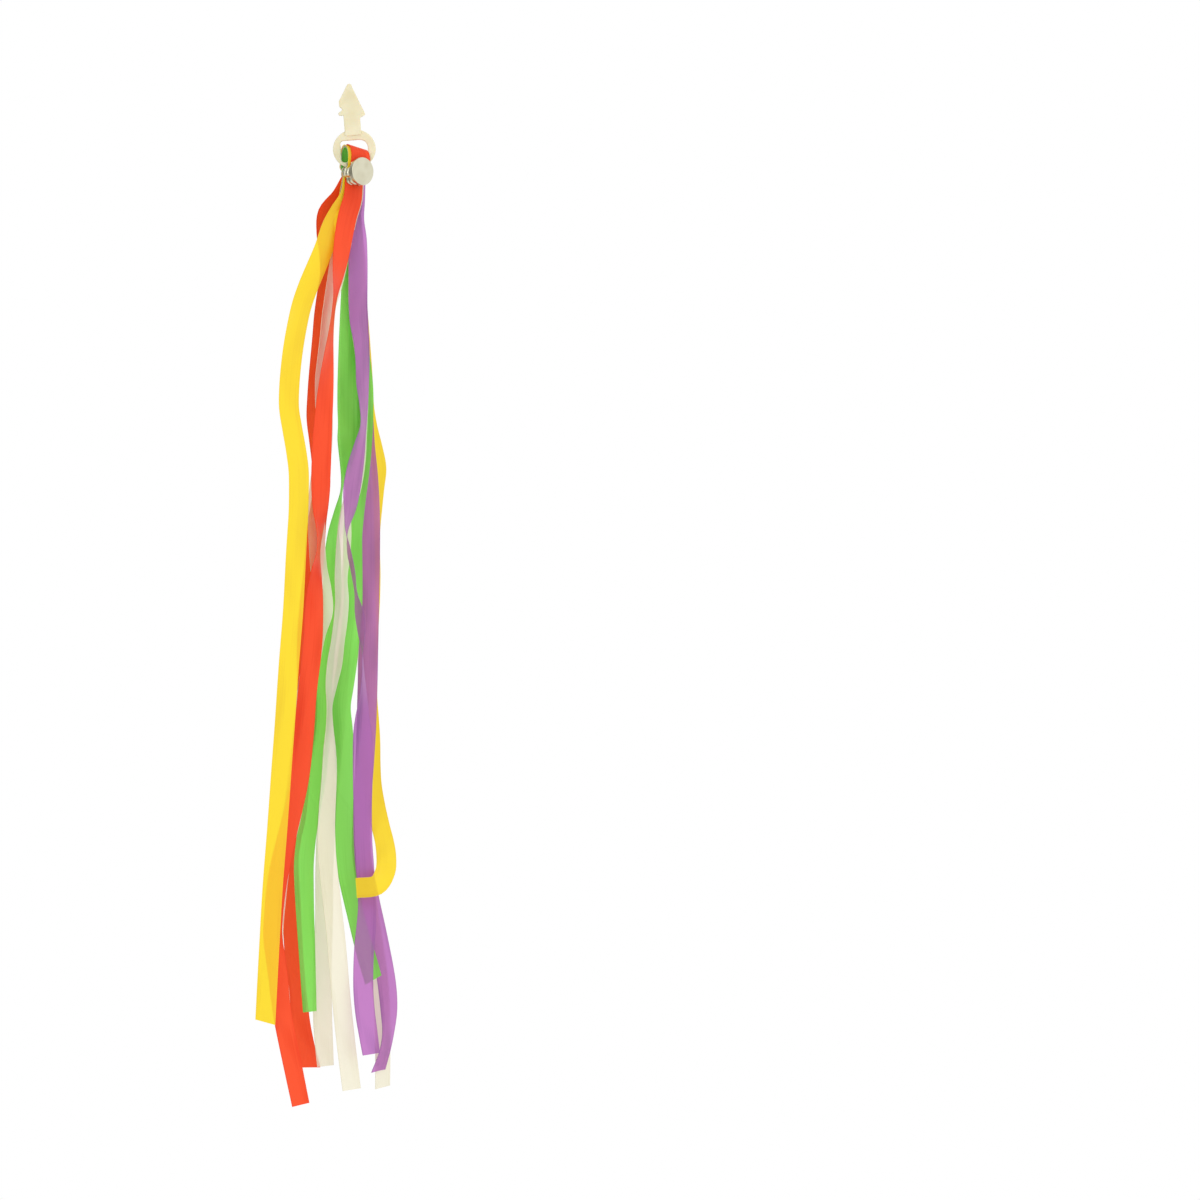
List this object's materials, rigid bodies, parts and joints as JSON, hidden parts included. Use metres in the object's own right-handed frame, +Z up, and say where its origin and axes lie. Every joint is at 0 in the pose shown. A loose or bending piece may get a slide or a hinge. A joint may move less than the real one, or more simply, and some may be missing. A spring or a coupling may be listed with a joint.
{
  "type": "handlebar streamer",
  "caption": "Push-in handlebar streamer: a barbed plastic plug with a ring, and folded film ribbons looped through it and pinned by a snap rivet.",
  "frame": {"origin": "on the plug's axis, at the shoulder where its stem meets its ring", "axes": "+Z up, as the streamer hangs, towards the plug's point; +Y towards the back; +X to the right, seen from the front"},
  "size_m": [0.0484, 0.0473, 0.3567],
  "materials": {
    "moulded_plastic": "satin moulded, ivory",
    "plated_steel": "satin nickel plate",
    "red_film": "translucent soft film",
    "yellow_film": "translucent soft film",
    "green_film": "translucent soft film",
    "purple_film": "translucent soft film",
    "white_film": "translucent soft film"
  },
  "bodies": {
    "plug": {"barbed_plug": "moulded_plastic"},
    "clamp": {"rivet_post": "plated_steel", "snap_cap": "plated_steel", "prong_ring": "plated_steel", "snap_socket": "plated_steel", "red_loop": "red_film", "yellow_loop": "yellow_film", "white_a_loop": "white_film", "purple_loop": "purple_film", "white_b_loop": "white_film", "green_loop": "green_film"},
    "red_tail_front": {"red_tail_front": "red_film"},
    "red_tail_rear": {"red_tail_rear": "red_film"},
    "yellow_tail_front": {"yellow_tail_front": "yellow_film"},
    "yellow_tail_rear": {"yellow_tail_rear": "yellow_film"},
    "white_a_tail_front": {"white_a_tail_front": "white_film"},
    "white_a_tail_rear": {"white_a_tail_rear": "white_film"},
    "purple_tail_front": {"purple_tail_front": "purple_film"},
    "purple_tail_rear": {"purple_tail_rear": "purple_film"},
    "white_b_tail_front": {"white_b_tail_front": "white_film"},
    "white_b_tail_rear": {"white_b_tail_rear": "white_film"},
    "green_tail_front": {"green_tail_front": "green_film"},
    "green_tail_rear": {"green_tail_rear": "green_film"}
  },
  "joints": [
    {"name": "loop_swing", "type": "hinge", "parent": "plug", "child": "clamp", "pos_m": [0.0007, 0, -0.0124], "axis": [0.866, 0.5, 0], "range_deg": [-60, 60]},
    {"name": "red_tail_front_fan", "type": "hinge", "parent": "clamp", "child": "red_tail_front", "pos_m": [0.00337, -0.00463, -0.02065], "axis": [1, 0, 0], "range_deg": [-12, 0]},
    {"name": "red_tail_rear_fan", "type": "hinge", "parent": "clamp", "child": "red_tail_rear", "pos_m": [-0.00198, 0.00463, -0.02065], "axis": [1, 0, 0], "range_deg": [0, 12]},
    {"name": "yellow_tail_front_fan", "type": "hinge", "parent": "clamp", "child": "yellow_tail_front", "pos_m": [0.0032, -0.00433, -0.02065], "axis": [1, 0, 0], "range_deg": [-12, 0]},
    {"name": "yellow_tail_rear_fan", "type": "hinge", "parent": "clamp", "child": "yellow_tail_rear", "pos_m": [-0.0018, 0.00433, -0.02065], "axis": [1, 0, 0], "range_deg": [0, 2.4]},
    {"name": "white_a_tail_front_fan", "type": "hinge", "parent": "clamp", "child": "white_a_tail_front", "pos_m": [0.00302, -0.00403, -0.02065], "axis": [1, 0, 0], "range_deg": [-9, 0]},
    {"name": "white_a_tail_rear_fan", "type": "hinge", "parent": "clamp", "child": "white_a_tail_rear", "pos_m": [-0.00162, 0.00403, -0.02065], "axis": [1, 0, 0], "range_deg": [0, 2.4]},
    {"name": "purple_tail_front_fan", "type": "hinge", "parent": "clamp", "child": "purple_tail_front", "pos_m": [0.00285, -0.00372, -0.02065], "axis": [1, 0, 0], "range_deg": [0, 2.4]},
    {"name": "purple_tail_rear_fan", "type": "hinge", "parent": "clamp", "child": "purple_tail_rear", "pos_m": [-0.00145, 0.00372, -0.02065], "axis": [1, 0, 0], "range_deg": [0, 2.4]},
    {"name": "white_b_tail_front_fan", "type": "hinge", "parent": "clamp", "child": "white_b_tail_front", "pos_m": [0.00267, -0.00342, -0.02065], "axis": [1, 0, 0], "range_deg": [0, 2.4]},
    {"name": "white_b_tail_rear_fan", "type": "hinge", "parent": "clamp", "child": "white_b_tail_rear", "pos_m": [-0.00128, 0.00342, -0.02065], "axis": [1, 0, 0], "range_deg": [0, 2.4]},
    {"name": "green_tail_front_fan", "type": "hinge", "parent": "clamp", "child": "green_tail_front", "pos_m": [0.0025, -0.00312, -0.02065], "axis": [1, 0, 0], "range_deg": [0, 2.4]},
    {"name": "green_tail_rear_fan", "type": "hinge", "parent": "clamp", "child": "green_tail_rear", "pos_m": [-0.0011, 0.00312, -0.02065], "axis": [1, 0, 0], "range_deg": [0, 2.4]}
  ],
  "couplings": [
    {"joint": "red_tail_front_fan", "follows": "red_tail_rear_fan", "ratio": -1},
    {"joint": "yellow_tail_front_fan", "follows": "red_tail_rear_fan", "ratio": -1},
    {"joint": "yellow_tail_rear_fan", "follows": "red_tail_rear_fan", "ratio": 0.2},
    {"joint": "white_a_tail_front_fan", "follows": "red_tail_rear_fan", "ratio": -0.75},
    {"joint": "white_a_tail_rear_fan", "follows": "red_tail_rear_fan", "ratio": 0.2},
    {"joint": "purple_tail_front_fan", "follows": "red_tail_rear_fan", "ratio": 0.2},
    {"joint": "purple_tail_rear_fan", "follows": "red_tail_rear_fan", "ratio": 0.2},
    {"joint": "white_b_tail_front_fan", "follows": "red_tail_rear_fan", "ratio": 0.2},
    {"joint": "white_b_tail_rear_fan", "follows": "red_tail_rear_fan", "ratio": 0.2},
    {"joint": "green_tail_front_fan", "follows": "red_tail_rear_fan", "ratio": 0.2},
    {"joint": "green_tail_rear_fan", "follows": "red_tail_rear_fan", "ratio": 0.2}
  ]
}
